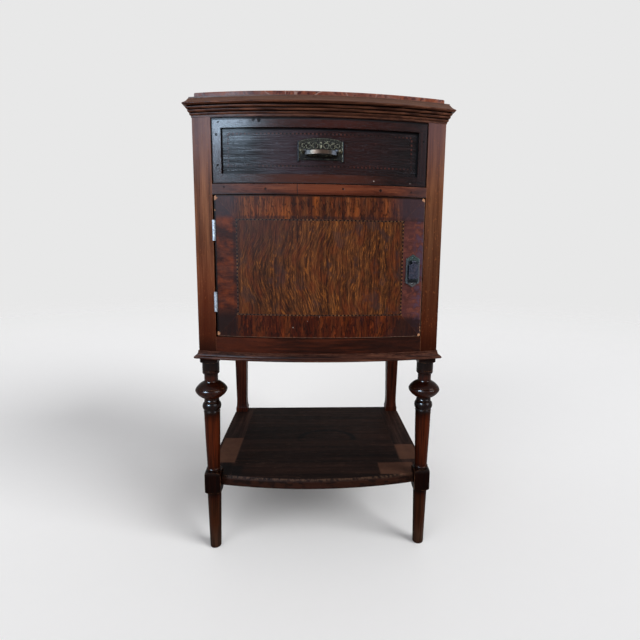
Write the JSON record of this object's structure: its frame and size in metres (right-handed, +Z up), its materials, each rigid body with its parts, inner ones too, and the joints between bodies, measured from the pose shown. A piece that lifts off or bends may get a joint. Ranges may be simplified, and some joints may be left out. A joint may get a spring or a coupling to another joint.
{
  "type": "bedside cabinet",
  "caption": "Bow-fronted wooden bedside cabinet with a marble top, one drawer, one door and an open shelf between turned front legs.",
  "frame": {"origin": "on the floor below the middle of the object's box", "axes": "+Z up, the bowed front with the drawer and the door faces -Y, +X to the right of someone who faces the front"},
  "size_m": [0.4288, 0.4004, 0.78],
  "materials": {
    "marble": "polished, worn",
    "cornice_wood": "french polished, worn",
    "post_wood": "french polished",
    "back_leg_wood": "french polished",
    "panel_wood": "french polished",
    "secondary_wood": "bare, aged",
    "rail_wood": "french polished, worn",
    "bottom_rail_wood": "french polished",
    "shelf_wood": "french polished, scratched",
    "clamp_wood": "french polished, worn",
    "drawer_front_wood": "crackled french polish",
    "frame_wood": "french polished, worn",
    "stringing_wood": "inlaid, worn",
    "door_field_wood": "french polished, worn",
    "crossband_wood": "french polished, worn",
    "handle_metal": "dark patina",
    "pull_metal": "dark patina",
    "hinge_metal": "dull, painted over in places",
    "catch_metal": "worn"
  },
  "bodies": {
    "carcase": {"marble_top": "marble", "cornice_front": "cornice_wood", "cornice_left": "cornice_wood", "cornice_right": "cornice_wood", "front_post_left": "post_wood", "front_post_right": "post_wood", "back_post_left": "back_leg_wood", "back_post_right": "back_leg_wood", "side_panel_left": "panel_wood", "side_panel_right": "panel_wood", "back_boards": "secondary_wood", "top_rail_front": "rail_wood", "top_rail_back": "secondary_wood", "divider_rail": "rail_wood", "drawer_runner_left": "secondary_wood", "drawer_runner_right": "secondary_wood", "drawer_guide_left": "secondary_wood", "drawer_guide_right": "secondary_wood", "drawer_kicker_left": "secondary_wood", "drawer_kicker_right": "secondary_wood", "drawer_stops": "secondary_wood", "bottom_rail": "bottom_rail_wood", "cupboard_floor": "secondary_wood", "floor_bearers": "secondary_wood", "base_moulding_front": "cornice_wood", "base_moulding_left": "cornice_wood", "base_moulding_right": "cornice_wood", "shelf_board": "shelf_wood", "shelf_clamp_left": "clamp_wood", "shelf_clamp_right": "clamp_wood", "door_stop": "rail_wood", "catch_plate": "catch_metal", "hinge_post_leaves": "hinge_metal", "hinge_pins": "hinge_metal", "hinge_post_screws": "hinge_metal"},
    "drawer": {"drawer_front": "drawer_front_wood", "drawer_frame_rails": "frame_wood", "drawer_frame_stiles": "frame_wood", "drawer_stringing": "stringing_wood", "drawer_side_left": "secondary_wood", "drawer_side_right": "secondary_wood", "drawer_back": "secondary_wood", "drawer_bottom": "secondary_wood", "handle_plate": "handle_metal", "handle_bolts": "handle_metal", "handle_nuts": "handle_metal"},
    "drawer_bail": {"handle_bail": "handle_metal"},
    "door": {"door_panel": "door_field_wood", "door_field_veneer": "door_field_wood", "door_crossband_rails": "crossband_wood", "door_crossband_stiles": "crossband_wood", "door_stringing": "stringing_wood", "hinge_door_leaves": "hinge_metal", "hinge_door_screws": "hinge_metal", "pull_plate": "pull_metal", "pull_pins": "pull_metal", "ball_catch": "catch_metal"},
    "door_drop": {"pull_drop": "pull_metal"}
  },
  "joints": [
    {"name": "drawer_slide", "type": "slide", "parent": "carcase", "child": "drawer", "axis": [0, -1, 0], "range_m": [0, 0.24]},
    {"name": "bail_hinge", "type": "hinge", "parent": "drawer", "child": "drawer_bail", "pos_m": [0, -0.1888, 0.69105], "axis": [-1, 0, 0], "range_deg": [0, 100]},
    {"name": "door_hinge", "type": "hinge", "parent": "carcase", "child": "door", "pos_m": [-0.1705, -0.16997, 0.51], "axis": [0, 0, -1], "range_deg": [0, 105]},
    {"name": "drop_hinge", "type": "hinge", "parent": "door", "child": "door_drop", "pos_m": [0.15379, -0.17701, 0.5215], "axis": [-0.9814, -0.1918, 0], "range_deg": [0, 100]}
  ]
}
